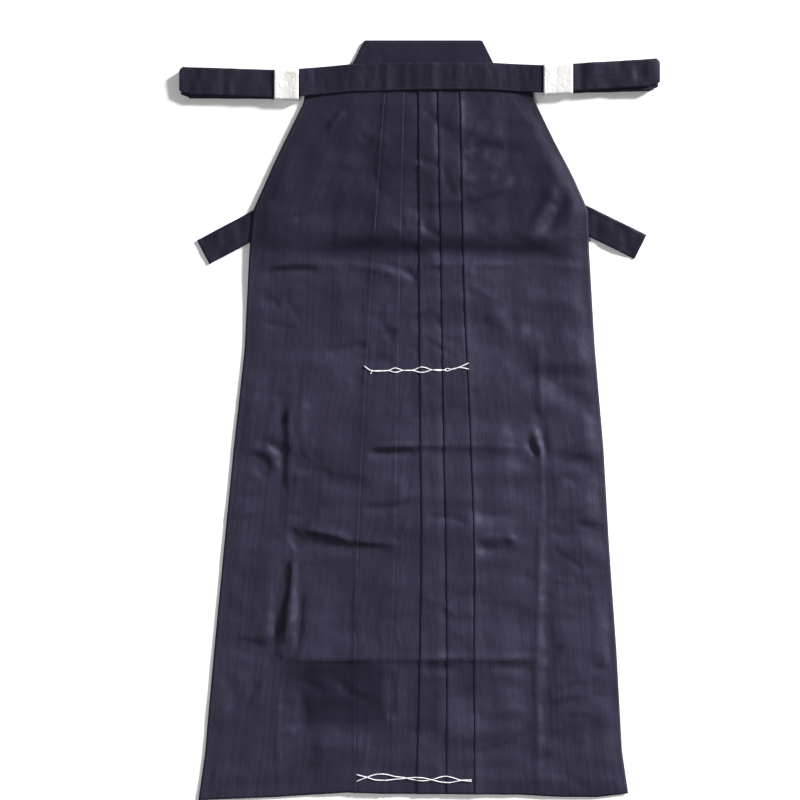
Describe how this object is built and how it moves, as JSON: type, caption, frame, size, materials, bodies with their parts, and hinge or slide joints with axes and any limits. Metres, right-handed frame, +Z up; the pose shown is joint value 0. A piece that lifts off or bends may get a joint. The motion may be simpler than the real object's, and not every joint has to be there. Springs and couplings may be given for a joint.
{
  "type": "hakama trousers",
  "caption": "Pleated hakama trousers laid flat, front up: wide legs, a front waistband whose straps are folded into bundles, a stiff back board and folded back straps.",
  "frame": {"origin": "middle of the laid-out garment's outline, on the surface it lies on", "axes": "+X to the right seen from above with the waist at the top, +Y from the hem towards the waist, +Z up from the surface"},
  "size_m": [0.6455, 1.0238, 0.0152],
  "materials": {
    "leg_cloth": "dark navy purple twill with a soft sheen",
    "strap_cloth": "the same twill, pressed flat and topstitched",
    "board_cover": "the same twill glued over a stiff board",
    "paper": "matte white paper, faintly creased"
  },
  "bodies": {
    "root": {"front_leg_left": "leg_cloth", "front_leg_right": "leg_cloth", "back_leg_left": "leg_cloth", "back_leg_right": "leg_cloth", "gusset_left": "leg_cloth", "gusset_right": "leg_cloth", "front_waistband": "strap_cloth", "front_strap_left": "strap_cloth", "front_strap_right": "strap_cloth", "paper_sleeve_left": "paper", "paper_sleeve_right": "paper", "back_board": "board_cover", "back_strap_left": "strap_cloth", "back_strap_right": "strap_cloth"}
  },
  "joints": []
}
